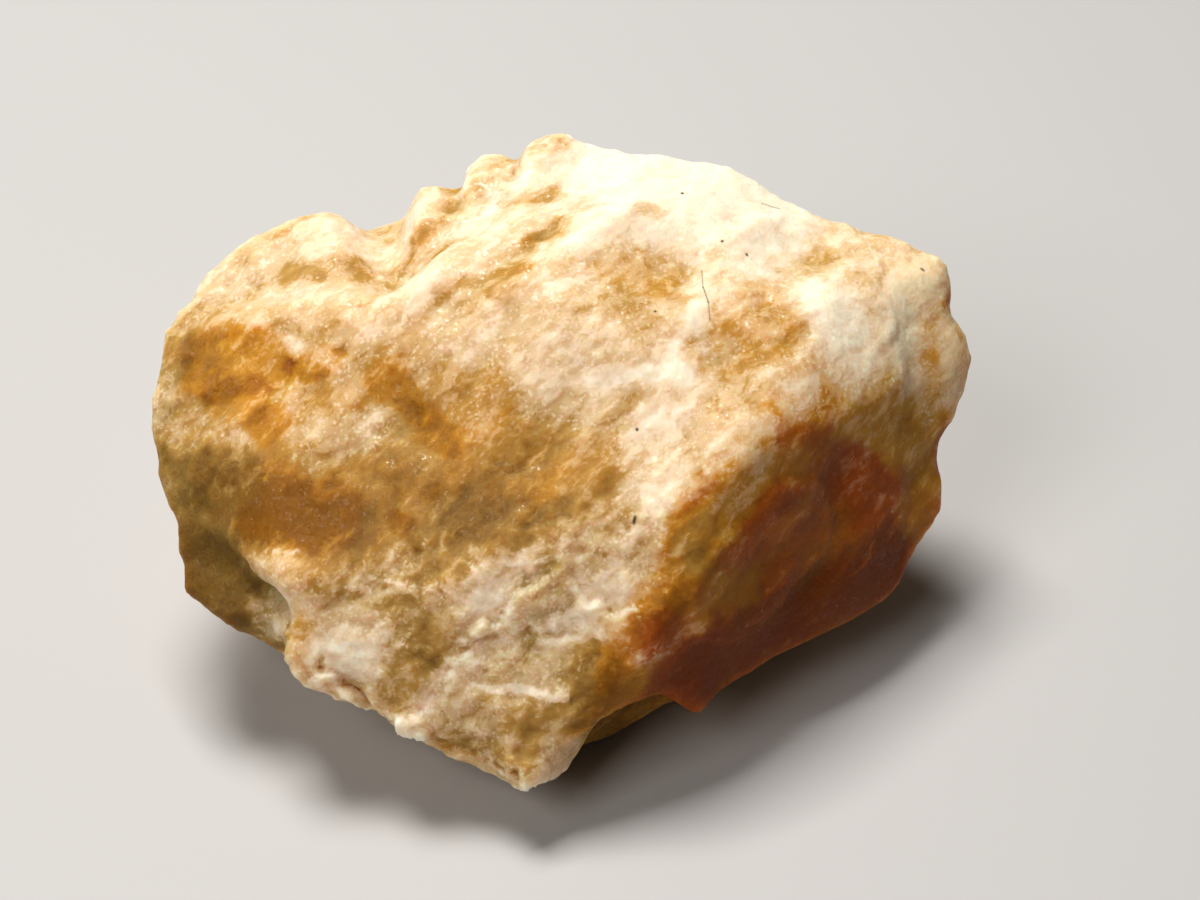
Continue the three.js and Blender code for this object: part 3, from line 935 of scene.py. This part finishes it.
@dataclass
class StoneShape:
    """The stone's broken surface, made finer from the plain solid.

    Attributes:
        coarse: The voxel size that evens out the solid's tiles, in millimetres.
        fine: The voxel size of the finished surface, in millimetres.
        swell: Height of the slow unevenness, in millimetres.
        blocks: Height of the blocks that the front is broken into, in millimetres.
        ledges: Height of the steps across the grain, in millimetres.
        fibres: Height of the ridges along the grain, in millimetres.
        lumps: Height of the rounded lumps, in millimetres.
        grains: Height of the grains' tilted faces, in millimetres.
        crumbs: Height of the smallest grains' faces, in millimetres.
        plate: Height of the flat boss on the right face, in millimetres.
        teeth: Height of the broken teeth along the lower edge, in millimetres.
        sole: The height under which the underside is pressed flat, in millimetres.
        softness: How far the relief's sharp steps are eased, in rounds of blurring.
        faces: How many triangles are kept.
        name: The name of the finished object.
    """

    coarse: float = 0.4
    fine: float = 0.14
    swell: float = 0.16
    blocks: float = 0.32
    ledges: float = 0.10
    fibres: float = 0.09
    lumps: float = 0.08
    grains: float = 0.11
    crumbs: float = 0.07
    plate: float = 0.16
    teeth: float = 0.26
    sole: float = 0.15
    softness: int = 1
    faces: int = 195_000
    name: str = "danburite_surface"

    ROUNDS = (3, 2)  # rounds of smoothing after the coarse and the fine remesh
    CREASE = math.radians(70)  # edges sharper than this stay sharp

    # what each kind of relief is like; the sizes are widths in millimetres
    SLOW = Waves(3.4, 3.0, 0.55, 31.0)  # the slow unevenness
    LEDGE_SIZE = 1.9
    LEDGE_BEND = Bend(2.0, 1.6)
    RIDGES = Waves(0.8, 3.0, 0.6)  # the fibres along the grain
    LUMP_BEND = Bend(0.9, 0.4)
    GRAIN_SIZE = 1.0
    CRUMB_SIZE = 0.42
    CRUMB_BEND = Bend(0.3, 0.14)
    TOOTH_SIZE = 1.1
    TOOTH_BEND = Bend(0.5, 0.1)
    RIM = Waves(1.4, 3.0, 0.5, 41.0)  # moves the plate's outline in and out
    RIM_REACH = 0.12  # how far it does, as a share of the plate's width
    PLATE_RISE = (0.12, 0.34)  # where the plate's edge starts and ends, in from its outline
    QUIET_BLOCKS = 0.22  # how much of the blocks there is away from the front
    QUIET = 0.4  # the same for lumps, grains and crumbs
    WORN = 0.72  # how much of the fine relief the smooth right face lacks

    def build(self) -> bpy.types.Object:
        """Makes the surface.

        Returns:
            The finished object, at the origin, in metres.
        """
        stone = self.copy_solid()
        self.scale(stone, 1 / MM)
        self.remesh(stone, self.coarse)
        self.relax(stone, self.ROUNDS[0])
        self.remesh(stone, self.fine)
        self.relax(stone, self.ROUNDS[1])
        self.break_up(stone)
        self.thin_out(stone)
        self.seat(stone)
        self.scale(stone, MM)
        pick(stone)
        bpy.ops.object.shade_smooth_by_angle(angle=self.CREASE)
        log.info("%s: %d faces", stone.name, len(stone.data.polygons))
        return stone

    def copy_solid(self) -> bpy.types.Object:
        """Copies the plain solid.

        Returns:
            The copy, with its loose triangles joined, on its own.
        """
        pick(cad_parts[NODE])
        bpy.ops.object.duplicate()
        stone = bpy.context.active_object
        stone.name = self.name
        stone.data.name = self.name
        for key in list(stone.keys()):
            del stone[key]
        stone.parent = None
        stone.data.materials.clear()
        bpy.ops.object.mode_set(mode="EDIT")
        bpy.ops.mesh.select_all(action="SELECT")
        bpy.ops.mesh.remove_doubles(threshold=1e-7)
        bpy.ops.object.mode_set(mode="OBJECT")
        return stone

    @staticmethod
    def scale(stone: bpy.types.Object, times: float) -> None:
        """Scales the mesh itself about the origin.

        Args:
            stone: The object whose mesh is scaled.
            times: How many times larger it gets.
        """
        pick(stone)
        stone.scale = (times,) * 3
        bpy.ops.object.transform_apply(location=False, rotation=False, scale=True)

    @staticmethod
    def apply(stone: bpy.types.Object, modifier: bpy.types.Modifier) -> None:
        """Applies one modifier."""
        pick(stone)
        bpy.ops.object.modifier_apply(modifier=modifier.name)

    def remesh(self, stone: bpy.types.Object, voxel: float) -> None:
        """Rebuilds the surface from even squares.

        Args:
            stone: The object whose mesh is rebuilt.
            voxel: About how wide the squares are, in millimetres.
        """
        even = stone.modifiers.new("even", "REMESH")
        even.mode = "VOXEL"
        even.voxel_size = voxel
        self.apply(stone, even)

    def relax(self, stone: bpy.types.Object, rounds: int) -> None:
        """Takes the steps of the squares out of the surface.

        Args:
            stone: The object whose mesh is smoothed.
            rounds: How many times.
        """
        soft = stone.modifiers.new("soft", "SMOOTH")
        soft.factor = 0.5
        soft.iterations = rounds
        self.apply(stone, soft)

    def thin_out(self, stone: bpy.types.Object) -> None:
        """Joins the smallest faces where the surface is nearly flat.

        Args:
            stone: The object whose mesh gets lighter.
        """
        have = sum(len(face.vertices) - 2 for face in stone.data.polygons)
        log.info("%d triangles before thinning", have)
        thin = stone.modifiers.new("thin", "DECIMATE")
        thin.ratio = min(1.0, self.faces / have)
        self.apply(stone, thin)

    def break_up(self, stone: bpy.types.Object) -> None:
        """Raises the broken relief, and stores milk, warmth and healed cracks at each point.

        Args:
            stone: The object whose mesh is changed.
        """
        tree = bpy.data.node_groups.new("relief", "GeometryNodeTree")
        tree.interface.new_socket("Geometry", in_out="INPUT", socket_type="NodeSocketGeometry")
        tree.interface.new_socket("Geometry", in_out="OUTPUT", socket_type="NodeSocketGeometry")
        writer = Writer(tree)
        start = writer.node("NodeGroupInput")
        place = writer.out(writer.node("GeometryNodeInputPosition"))
        normal = writer.out(writer.node("GeometryNodeInputNormal"))
        softened = writer.node(
            "GeometryNodeBlurAttribute",
            {"data_type": "FLOAT"},
            {"Value": self.relief(Fields(writer, place)), "Iterations": self.softness},
        )
        moved = writer.node(
            "GeometryNodeSetPosition",
            None,
            {
                "Geometry": writer.out(start),
                "Offset": writer.vector("SCALE", normal, writer.out(softened)),
            },
        )
        zoning = Zoning(Fields(writer, place))
        lifts = {rounds: self.lift(writer, place, normal, rounds) for rounds in Zoning.LIFT_SHARES}
        milky = self.noted(writer, writer.out(moved), MILK, zoning.milk(lifts))
        warm = self.noted(writer, milky, WARMTH, zoning.warmth())
        healed = self.noted(writer, warm, HEALED, zoning.healed())
        end = writer.node("NodeGroupOutput")
        writer.feed(end.inputs[0], healed)
        relief = stone.modifiers.new("relief", "NODES")
        relief.node_group = tree
        self.apply(stone, relief)

    @staticmethod
    def lift(writer: Writer, place: Socket, normal: Socket, rounds: int) -> Socket:
        """How far each point stands out of its surroundings, in millimetres.

        Args:
            writer: The geometry tree's writer.
            place: Each point's place.
            normal: Each point's normal.
            rounds: How far the surroundings reach, in rounds of blurring.

        Returns:
            The lift.
        """
        blurred = writer.node(
            "GeometryNodeBlurAttribute",
            {"data_type": "FLOAT_VECTOR"},
            {"Value": place, "Iterations": rounds},
        )
        out_of = writer.vector("SUBTRACT", place, writer.out(blurred))
        return writer.vector("DOT_PRODUCT", out_of, normal)

    @staticmethod
    def noted(writer: Writer, geometry: Socket, name: str, value: Socket) -> Socket:
        """Stores a number at each point of the surface.

        Args:
            writer: The geometry tree's writer.
            geometry: The surface.
            name: The number's name.
            value: The number.

        Returns:
            The surface, with the number.
        """
        stored = writer.node(
            "GeometryNodeStoreNamedAttribute",
            {"data_type": "FLOAT", "domain": "POINT"},
            {"Geometry": geometry, "Name": name, "Value": value},
        )
        return writer.out(stored)

    def relief(self, fields: Fields) -> Socket:
        """The finely broken surface.

        Args:
            fields: The noise and masks at each point.

        Returns:
            Its height over the plain surface, in millimetres.
        """
        writer = fields.writer
        right = fields.on_facet(Facets.RIGHT.value)
        front = fields.on_facet(Facets.FRONT.value)
        rough = writer.at_least(self.QUIET, front)
        swell = fields.noise(self.SLOW, fields.fibrewise) * self.swell
        blocks = fields.chips(BLOCK, fields.blockwise()) * self.blocks
        blocks = blocks * writer.at_least(self.QUIET_BLOCKS, front)
        steps = fields.ledges(self.LEDGE_SIZE, fields.warped(self.LEDGE_BEND))
        ledges = steps * (1.0 - front) * self.ledges
        fibres = fields.noise(self.RIDGES, fields.fibrewise) * self.fibres
        lumps = fields.lumps(fields.warped(self.LUMP_BEND)) * self.lumps * rough
        grains = fields.chips(self.GRAIN_SIZE, fields.grainwise) * self.grains * rough
        crumbled = fields.warped(self.CRUMB_BEND)
        crumbs = fields.chips(self.CRUMB_SIZE, crumbled) * self.crumbs * rough
        fine = blocks + ledges + fibres + lumps + grains + crumbs
        edge = fields.strokes(BOSS, fields.noise(self.RIM) * self.RIM_REACH)
        plate = writer.smooth(edge, *self.PLATE_RISE) * self.plate
        broken = fields.lots(self.TOOTH_SIZE, fields.warped(self.TOOTH_BEND))
        teeth = broken * fields.strokes(HEM) * self.teeth
        worn = 1.0 - self.WORN * right
        return swell + plate + teeth + fine * worn + fields.strokes(NOTCHES)

    def seat(self, stone: bpy.types.Object) -> None:
        """Presses the lowest points down, and cuts the underside flat where the stone rests.

        Args:
            stone: The object whose mesh is cut.
        """
        pick(stone)
        bpy.ops.object.mode_set(mode="EDIT")
        bpy.ops.mesh.select_mode(type="VERT")
        bpy.ops.mesh.select_all(action="DESELECT")
        bpy.ops.object.mode_set(mode="OBJECT")
        low = [vertex.co.z < self.sole for vertex in stone.data.vertices]
        stone.data.vertices.foreach_set("select", low)
        bpy.ops.object.mode_set(mode="EDIT")
        bpy.ops.transform.resize(value=(1, 1, 0), center_override=(0, 0, -self.sole))
        bpy.ops.mesh.select_all(action="SELECT")
        bpy.ops.mesh.bisect(
            plane_co=(0, 0, 0), plane_no=(0, 0, 1), use_fill=True, clear_inner=True
        )
        bpy.ops.object.mode_set(mode="OBJECT")


# ------------------------------------------------------------------------ the finish


class Tint(Enum):
    """The stone's colours, clear ones first, from green to red."""

    OLIVE = (0.43, 0.275, 0.075, 1)
    HONEY = (0.52, 0.31, 0.085, 1)
    AMBER = (0.62, 0.305, 0.03, 1)
    # dark and saturated, partly the stone's own colour and partly painted shade for the shaded
    # right face
    RUSSET = (0.47, 0.118, 0.009, 1)
    CREAM = (0.79, 0.60, 0.38, 1)
    FROST = (0.95, 0.81, 0.64, 1)
    # painted light: a warm white for light glowing through the thin right end
    PEACH = (0.98, 0.76, 0.50, 1)
    # the dark of the dirt, and of the pit's painted shade
    DUST = (0.06, 0.04, 0.025, 1)


@dataclass(frozen=True)
class Veil:
    """A layer of colour, which covers more where the stone is cloudier.

    Attributes:
        strength: How much it covers at most, from 0 to 1.
        broad: How much broad noise moves its edge.
        fine: How much fine noise moves its edge.
        low: How cloudy the stone is where the layer starts.
        high: How cloudy it is where the layer is full.
    """

    strength: float
    broad: float
    fine: float
    low: float
    high: float


class Veils(Enum):
    """The layers over the stone's depths, from the lowest to the top one."""

    DEPTHS = Veil(1.0, 0.45, 0.3, -0.95, 0.2)
    GAUZE = Veil(0.24, 0.3, 0.8, -0.15, 0.25)
    THIN = Veil(0.54, 0.5, 0.2, 0.16, 0.42)
    THICK = Veil(0.5, 0.2, 0.6, 0.36, 0.68)
    FROSTED = Veil(1.0, 0.35, 0.35, 0.66, 1.05)


@dataclass(frozen=True)
class DanburiteFinish:
    """The stone's translucent honey, cream and frost.

    Attributes:
        name: The material's name.
        refraction: The crystal's index of refraction.
        shine: How strongly the broken surface mirrors, from 0 to 1.
        clear_depth: How far light runs in the clear stone, in millimetres.
        clear_radius: The same for red, green and blue, as shares.
        milky_depth: How far light runs in the frosty stone, in millimetres.
        milky_radius: The same for red, green and blue, as shares.
        milky_from: The milk at which light starts to run as in frost, and at which it does.
    """

    name: str = "danburite_finish"
    refraction: float = 1.63
    shine: float = 0.18
    clear_depth: float = 1.8
    clear_radius: Triple = (1.0, 0.5, 0.22)
    milky_depth: float = 0.6
    milky_radius: Triple = (1.0, 0.75, 0.5)
    milky_from: Span = (0.3, 0.9)

    ROUGHNESS = 0.55
    GLINT_SIZE = 0.11  # the width of the smallest faces, in millimetres
    GLINTING = (0.68, 0.76)  # faces with a lot over this catch the light
    GLINT_POLISH = 0.35  # how much less rough they are
    # painted highlight: glinting faces are also painted whiter
    PAINTED_GLINT_WHITE = 0.36  # how much whiter they are
    WHITENED = (-0.3, 0.25)  # the milk at which flecks and glints start to show, and do in full

    # the noise that the layers' edges follow: broad and fine along the grain, streaks on the top
    VEIL_BEND = Bend(0.8, 0.35)
    BROAD = Waves(1.3, 5.0, 0.66, 7.0)
    BROAD_STRETCH = 2.0
    FINE = Waves(0.42, 3.0, 0.7, 29.0)
    FINE_STRETCH = 3.0
    STREAK_BEND = Bend(1.8, 0.3)
    STREAK_WAVES = Waves(0.9, 3.0, 0.68, 37.0)
    STREAK_STRETCH = 7.0
    QUIET_STREAKS = 0.3  # how much the streaks count away from the top
    EXCESS = (0.8, 1.5)  # milk over this is partly taken back
    DEEP = (0.46, 0.39, 0.20)  # what the deepest places keep of the clear colour
    BRIGHT = (1.35, 1.6, 2.4)  # how many times brighter haze makes the clear colour
    HAZED = (0.1, 0.6)  # the noise at which haze starts, and is full
    HEALED_SHOWN = (0.4, 0.9)  # the same for the white of healed cracks

    # white cracks between the blocks of the front
    SEAM_BREAKS = Waves(1.3, 3.0, 0.7, 71.0)  # interrupts them
    SEAM_SHOWN = (-0.25, 0.35)  # that noise where they start to show, and do in full
    SEAM_FADES = (0.0, 0.3)  # the milk where they do
    SEAM_WIDTH = 0.045  # half of a crack's width, as a share of BLOCK
    HALO_WIDTH = 0.22  # the same for the faint halo round it

    # white flecks: dashes where clusters are, and crushed spots, each with the noise it starts at
    FLECK_BEND = Bend(0.6, 0.15)
    FLECK_STRETCH = 3.0
    DASHES = Waves(0.3, 2.0, 0.6, 53.0)
    DASHES_SHOWN = (0.42, 0.66)
    CLUSTERS = Waves(0.8, 3.0, 0.7, 61.0)
    CLUSTERS_SHOWN = (0.1, 0.45)
    CRUSHED = Waves(1.2, 4.0, 0.75, 67.0)
    CRUSHED_SHOWN = (0.62, 0.85)

    # bumps too small for the mesh, and dirt with a pit's painted shade
    GRIT = Waves(0.14)
    GRIT_HEIGHT = 0.012  # in millimetres
    FACE_SIZE = 0.16  # in millimetres
    FACE_HEIGHT = 0.04  # in millimetres
    DIRT_AND_PIT_FROM = (0.45, 0.55)  # the dirt and the pit's painted shade lie higher than this, in shares of the height

    def dress(self, stone: bpy.types.Object) -> None:
        """Makes the material and gives it to the stone.

        Args:
            stone: The finished surface, which holds milk, warmth and healed cracks.
        """
        material = bpy.data.materials.new(self.name)
        material.use_nodes = True
        writer = Writer(material.node_tree)
        place = writer.out(writer.node("ShaderNodeTexCoord"), "Object")
        fields = Fields(writer, writer.vector("SCALE", place, 1 / MM))
        glint = writer.smooth(fields.lots(self.GLINT_SIZE, fields.place), *self.GLINTING)
        milk = self.stored(writer, MILK)
        veiled = self.veiled(fields, milk, self.clear(writer, self.stored(writer, WARMTH)))
        shown = writer.smooth(milk, *self.WHITENED)
        # the flecks are the stone's own white; the whitening of glinting faces is a painted
        # highlight
        white_and_painted_light = (self.flecks(fields) + self.PAINTED_GLINT_WHITE * glint) * shown
        speckled_with_painted_glints = writer.mix(writer.within(white_and_painted_light), veiled, Tint.FROST.value)
        colour = writer.mix(self.dirt_and_pit_shade(fields), speckled_with_painted_glints, Tint.DUST.value)
        roughness = self.ROUGHNESS - self.GLINT_POLISH * glint
        normal = self.normal(fields)
        clear = self.shader(writer, colour, roughness, normal, self.clear_depth, self.clear_radius)
        milky = self.shader(writer, colour, roughness, normal, self.milky_depth, self.milky_radius)
        share = writer.smooth(milk, *self.milky_from)
        both = writer.node("ShaderNodeMixShader", None, {0: share, 1: clear, 2: milky})
        end = writer.node("ShaderNodeOutputMaterial")
        writer.feed(end.inputs["Surface"], writer.out(both))
        stone.data.materials.append(material)

    def shader(
        self,
        writer: Writer,
        colour: Socket,
        roughness: Socket,
        normal: Socket,
        depth: float,
        radius: Triple,
    ) -> Socket:
        """Cloudy stone that light enters and runs in.

        Args:
            writer: The material's writer.
            colour: The stone's colour.
            roughness: The surface's roughness.
            normal: The surface's fine bumps.
            depth: How far light runs, in millimetres.
            radius: The same for red, green and blue, as shares.

        Returns:
            The shader.
        """
        made = writer.node(
            "ShaderNodeBsdfPrincipled",
            None,
            {
                "Base Color": colour,
                "Roughness": roughness,
                "IOR": self.refraction,
                "Specular IOR Level": self.shine,
                "Normal": normal,
                "Subsurface Weight": 1.0,
                "Subsurface Radius": radius,
                "Subsurface Scale": depth * MM,
            },
        )
        return writer.out(made)

    @staticmethod
    def stored(writer: Writer, name: str) -> Socket:
        """A number stored on the surface."""
        return writer.out(writer.node("ShaderNodeAttribute", {"attribute_name": name}), "Fac")

    @staticmethod
    def clear(writer: Writer, warmth: Socket) -> Socket:
        """The clear stone's colour.

        Args:
            writer: The material's writer.
            warmth: From 0, olive, to 1, russet.

        Returns:
            The colour.
        """
        honey, amber, russet = 0.33, 0.66, 1.0
        green = writer.mix(writer.smooth(warmth, 0.0, honey), Tint.OLIVE.value, Tint.HONEY.value)
        orange = writer.mix(writer.smooth(warmth, honey, amber), green, Tint.AMBER.value)
        return writer.mix(writer.smooth(warmth, amber, russet), orange, Tint.RUSSET.value)

    @staticmethod
    def cover(veil: Veil, cloudy: Socket, broad: Socket, fine: Socket) -> Socket:
        """How much a layer covers at each point, from 0 to its strength."""
        spread = cloudy + veil.broad * broad + veil.fine * fine
        return veil.strength * cloudy.writer.smooth(spread, veil.low, veil.high)

    def veiled(self, fields: Fields, milk: Socket, clear: Socket) -> Socket:
        """The clear stone under feathery veils of cream and frost.

        Args:
            fields: The material's noise and masks.
            milk: How cloudy the stone is, from 0, clear, to 1, frosty.
            clear: The clear stone's colour.

        Returns:
            The colour.
        """
        writer = fields.writer
        bent = fields.warped(self.VEIL_BEND)
        broad = fields.noise(self.BROAD, fields.squeezed(bent, GRAIN, self.BROAD_STRETCH))
        fine = fields.noise(self.FINE, fields.squeezed(bent, GRAIN, self.FINE_STRETCH))
        top = writer.at_least(self.QUIET_STREAKS, fields.on_facet(Facets.TOP.value))
        drawn = fields.squeezed(fields.warped(self.STREAK_BEND), TOP_GRAIN, self.STREAK_STRETCH)
        streaks = fields.noise(self.STREAK_WAVES, drawn)
        lines, halo = self.seams(fields, milk)
        healed = self.stored(writer, HEALED)
        painted_glow_strip = fields.on_facet(Facets.STRIP.value)
        # frost, made peach on the right end as a painted glow
        white_and_painted_light = writer.mix(painted_glow_strip, Tint.FROST.value, Tint.PEACH.value)
        excess = writer.smooth(milk, *self.EXCESS) * 0.3
        cloudy = milk - excess + 0.36 * streaks * top + 0.2 * halo + 0.12 * healed
        haze = 0.6 * broad + 0.8 * fine + 0.4 * streaks
        layers = {
            Veils.GAUZE: white_and_painted_light,
            Veils.THIN: Tint.CREAM.value,
            Veils.THICK: white_and_painted_light,
            Veils.FROSTED: white_and_painted_light,
        }
        deep = writer.vector("MULTIPLY", clear, self.DEEP)
        bright = writer.vector("MULTIPLY", clear, self.BRIGHT)
        body = writer.mix(self.cover(Veils.DEPTHS.value, cloudy, broad, fine), deep, clear)
        body = writer.mix(0.3 * writer.smooth(haze, *self.HAZED), body, bright)
        for layer, colour in layers.items():
            body = writer.mix(self.cover(layer.value, cloudy, broad, fine), body, colour)
        seen = writer.smooth(healed + 0.7 * fine + 0.5 * broad, *self.HEALED_SHOWN)
        lit = writer.within(0.6 * lines + 0.5 * seen)
        return writer.mix(lit, body, Tint.FROST.value)

    def seams(self, fields: Fields, milk: Socket) -> Tuple[Socket, Socket]:
        """White cracks between the blocks of the front.

        Args:
            fields: The material's noise and masks.
            milk: How cloudy the stone is, from 0, clear, to 1, frosty.

        Returns:
            The cracks and the faint halo round them, each from 0 to 1.
        """
        writer = fields.writer
        edges = fields.cells(BLOCK, fields.blockwise(), "DISTANCE_TO_EDGE")
        near = writer.out(edges, "Distance")
        broken = writer.smooth(fields.noise(self.SEAM_BREAKS), *self.SEAM_SHOWN)
        shown = broken * fields.on_facet(Facets.FRONT.value)
        shown = shown * writer.smooth(milk, *self.SEAM_FADES)
        lines = writer.smooth(near, self.SEAM_WIDTH, 0.0) * shown
        return lines, writer.smooth(near, self.HALO_WIDTH, 0.0) * shown

    def flecks(self, fields: Fields) -> Socket:
        """Short thin white flecks in loose clusters, and crushed spots.

        Args:
            fields: The material's noise and masks.

        Returns:
            From 0 to a little over 1.
        """
        smooth = fields.writer.smooth
        drawn = fields.squeezed(fields.warped(self.FLECK_BEND), GRAIN, self.FLECK_STRETCH)
        dashes = smooth(fields.noise(self.DASHES, drawn), *self.DASHES_SHOWN)
        clusters = smooth(fields.noise(self.CLUSTERS, drawn), *self.CLUSTERS_SHOWN)
        crushed = smooth(fields.noise(self.CRUSHED, drawn), *self.CRUSHED_SHOWN)
        return 0.8 * dashes * clusters + 0.45 * crushed

    def dirt_and_pit_shade(self, fields: Fields) -> Socket:
        """Dark specks, the painted shade of a pit, a scratch and a hair on the upper side.

        Args:
            fields: The material's noise and masks.

        Returns:
            From 0 to 1.
        """
        writer = fields.writer
        plan = Fields(writer, fields.place, UP)
        height = writer.vector("DOT_PRODUCT", fields.place, (0.0, 0.0, 1 / HEIGHT))
        return writer.within(plan.strokes(DIRT_AND_PIT_SHADE)) * writer.smooth(height, *self.DIRT_AND_PIT_FROM)

    def normal(self, fields: Fields) -> Socket:
        """Bumps too small for the mesh.

        Args:
            fields: The material's noise and masks.

        Returns:
            The bent normal.
        """
        grit = fields.noise(self.GRIT) * self.GRIT_HEIGHT
        faces = fields.chips(self.FACE_SIZE, fields.place) * self.FACE_HEIGHT
        bump = fields.writer.node(
            "ShaderNodeBump", None, {"Strength": 1.0, "Distance": MM, "Height": grit + faces}
        )
        return fields.writer.out(bump)


# ------------------------------------------------------------------------ the studio


@dataclass(frozen=True)
class Lamp:
    """A square light that faces the stone.

    Attributes:
        name: Its name.
        place: Where it hangs, in stone lengths from the origin.
        size: How wide it is, in stone lengths.
        power: Its power, in watts.
        colour: Its colour.
    """

    name: str
    place: Triple
    size: float
    power: float
    colour: Triple


@dataclass
class Studio:
    """A pale floor, soft lights and the camera.

    Attributes:
        lens: The camera's lens, in millimetres.
        sensor: The camera's sensor width, in millimetres.
        elevation: How far the camera looks down, in degrees.
        distance: From the camera to what it looks at, in stone lengths.
        aim: What it looks at, in shares of the stone.
        lamps: A soft key light behind the stone on the left, and a dim fill in front.
        sky: The colour of the sky.
        glow: How bright the sky is.
        floor_size: How wide the floor is, in metres.
        floor: The floor's colour.
        floor_roughness: Its roughness.
    """

    lens: float = 72.0
    sensor: float = 36.0
    elevation: float = 42.0
    distance: float = 2.832
    aim: Triple = (0.075, -0.076, 0.587)
    lamps: Tuple[Lamp, ...] = (
        Lamp("key", (-1.3, 2.3, 8.0), 3.0, 0.77, (1.0, 0.98, 0.95)),
        Lamp("fill", (-3.8, -4.2, 6.0), 4.0, 0.26, (1.0, 0.98, 0.96)),
    )
    sky: Tuple[float, ...] = (1.0, 0.99, 0.98, 1)
    glow: float = 0.05
    floor_size: float = 1.2
    floor: Tuple[float, ...] = (0.50, 0.49, 0.48, 1)
    floor_roughness: float = 0.7

    def build(self) -> None:
        """Makes everything around the stone."""
        self.lay_floor()
        for lamp in self.lamps:
            self.hang(lamp)
        self.light_sky()
        self.place_camera()

    def lay_floor(self) -> None:
        """A wide plain floor under the stone."""
        deselect()
        bpy.ops.mesh.primitive_plane_add(size=self.floor_size, location=(0, 0, 0))
        floor = bpy.context.active_object
        floor.name = "floor"
        material = bpy.data.materials.new("floor_finish")
        material.use_nodes = True
        writer = Writer(material.node_tree)
        finish = {"Base Color": self.floor, "Roughness": self.floor_roughness}
        shader = writer.node("ShaderNodeBsdfPrincipled", None, finish)
        end = writer.node("ShaderNodeOutputMaterial")
        writer.feed(end.inputs["Surface"], writer.out(shader))
        floor.data.materials.append(material)

    @staticmethod
    def hang(lamp: Lamp) -> None:
        """Hangs one light, turned to the middle of the stone.

        Args:
            lamp: The light.
        """
        deselect()
        length = 2 * HALF_LENGTH * MM
        where = Vector(lamp.place) * length
        away = where - at((0, 0, 0.4)) * MM
        bpy.ops.object.light_add(type="AREA", location=where)
        made = bpy.context.active_object
        made.name = lamp.name
        made.rotation_mode = "QUATERNION"
        made.rotation_quaternion = away.to_track_quat("Z", "Y")
        made.data.shape = "SQUARE"
        made.data.size = lamp.size * length
        made.data.energy = lamp.power
        made.data.color = lamp.colour

    def light_sky(self) -> None:
        """A dim even sky, and the contrast that the scene is seen with."""
        world = bpy.data.worlds.new("sky")
        bpy.context.scene.world = world
        world.use_nodes = True
        writer = Writer(world.node_tree)
        inputs = {"Color": self.sky, "Strength": self.glow}
        sky = writer.node("ShaderNodeBackground", None, inputs)
        end = writer.node("ShaderNodeOutputWorld")
        writer.feed(end.inputs["Surface"], writer.out(sky))
        bpy.context.scene.view_settings.view_transform = "Standard"
        bpy.context.scene.view_settings.look = "Medium High Contrast"

    def place_camera(self) -> None:
        """The camera, in front of the stone and above it, with no shift."""
        deselect()
        down = math.radians(self.elevation)
        back = Vector((0, -math.cos(down), math.sin(down)))
        length = 2 * HALF_LENGTH * MM
        where = at(self.aim) * MM + back * self.distance * length
        bpy.ops.object.camera_add(location=where, rotation=(math.pi / 2 - down, 0, 0))
        camera = bpy.context.active_object
        camera.data.lens = self.lens
        camera.data.sensor_width = self.sensor
        camera.data.clip_start = MM
        camera.data.clip_end = 10
        bpy.context.scene.camera = camera


def main() -> None:
    """Builds the stone, dresses it and sets the studio round it."""
    logging.basicConfig(level=logging.INFO, format="%(name)s: %(message)s")
    studio = Studio()
    studio.build()
    log.info("studio: %d lights, %.0f mm lens", len(studio.lamps), studio.lens)
    stone = StoneShape().build()
    finish = DanburiteFinish()
    finish.dress(stone)
    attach(stone, BODY)
    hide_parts(NODE)
    log.info("%s: %s, on body %s, in place of %s", stone.name, finish.name, BODY, NODE)


if __name__ == "__main__":
    main()
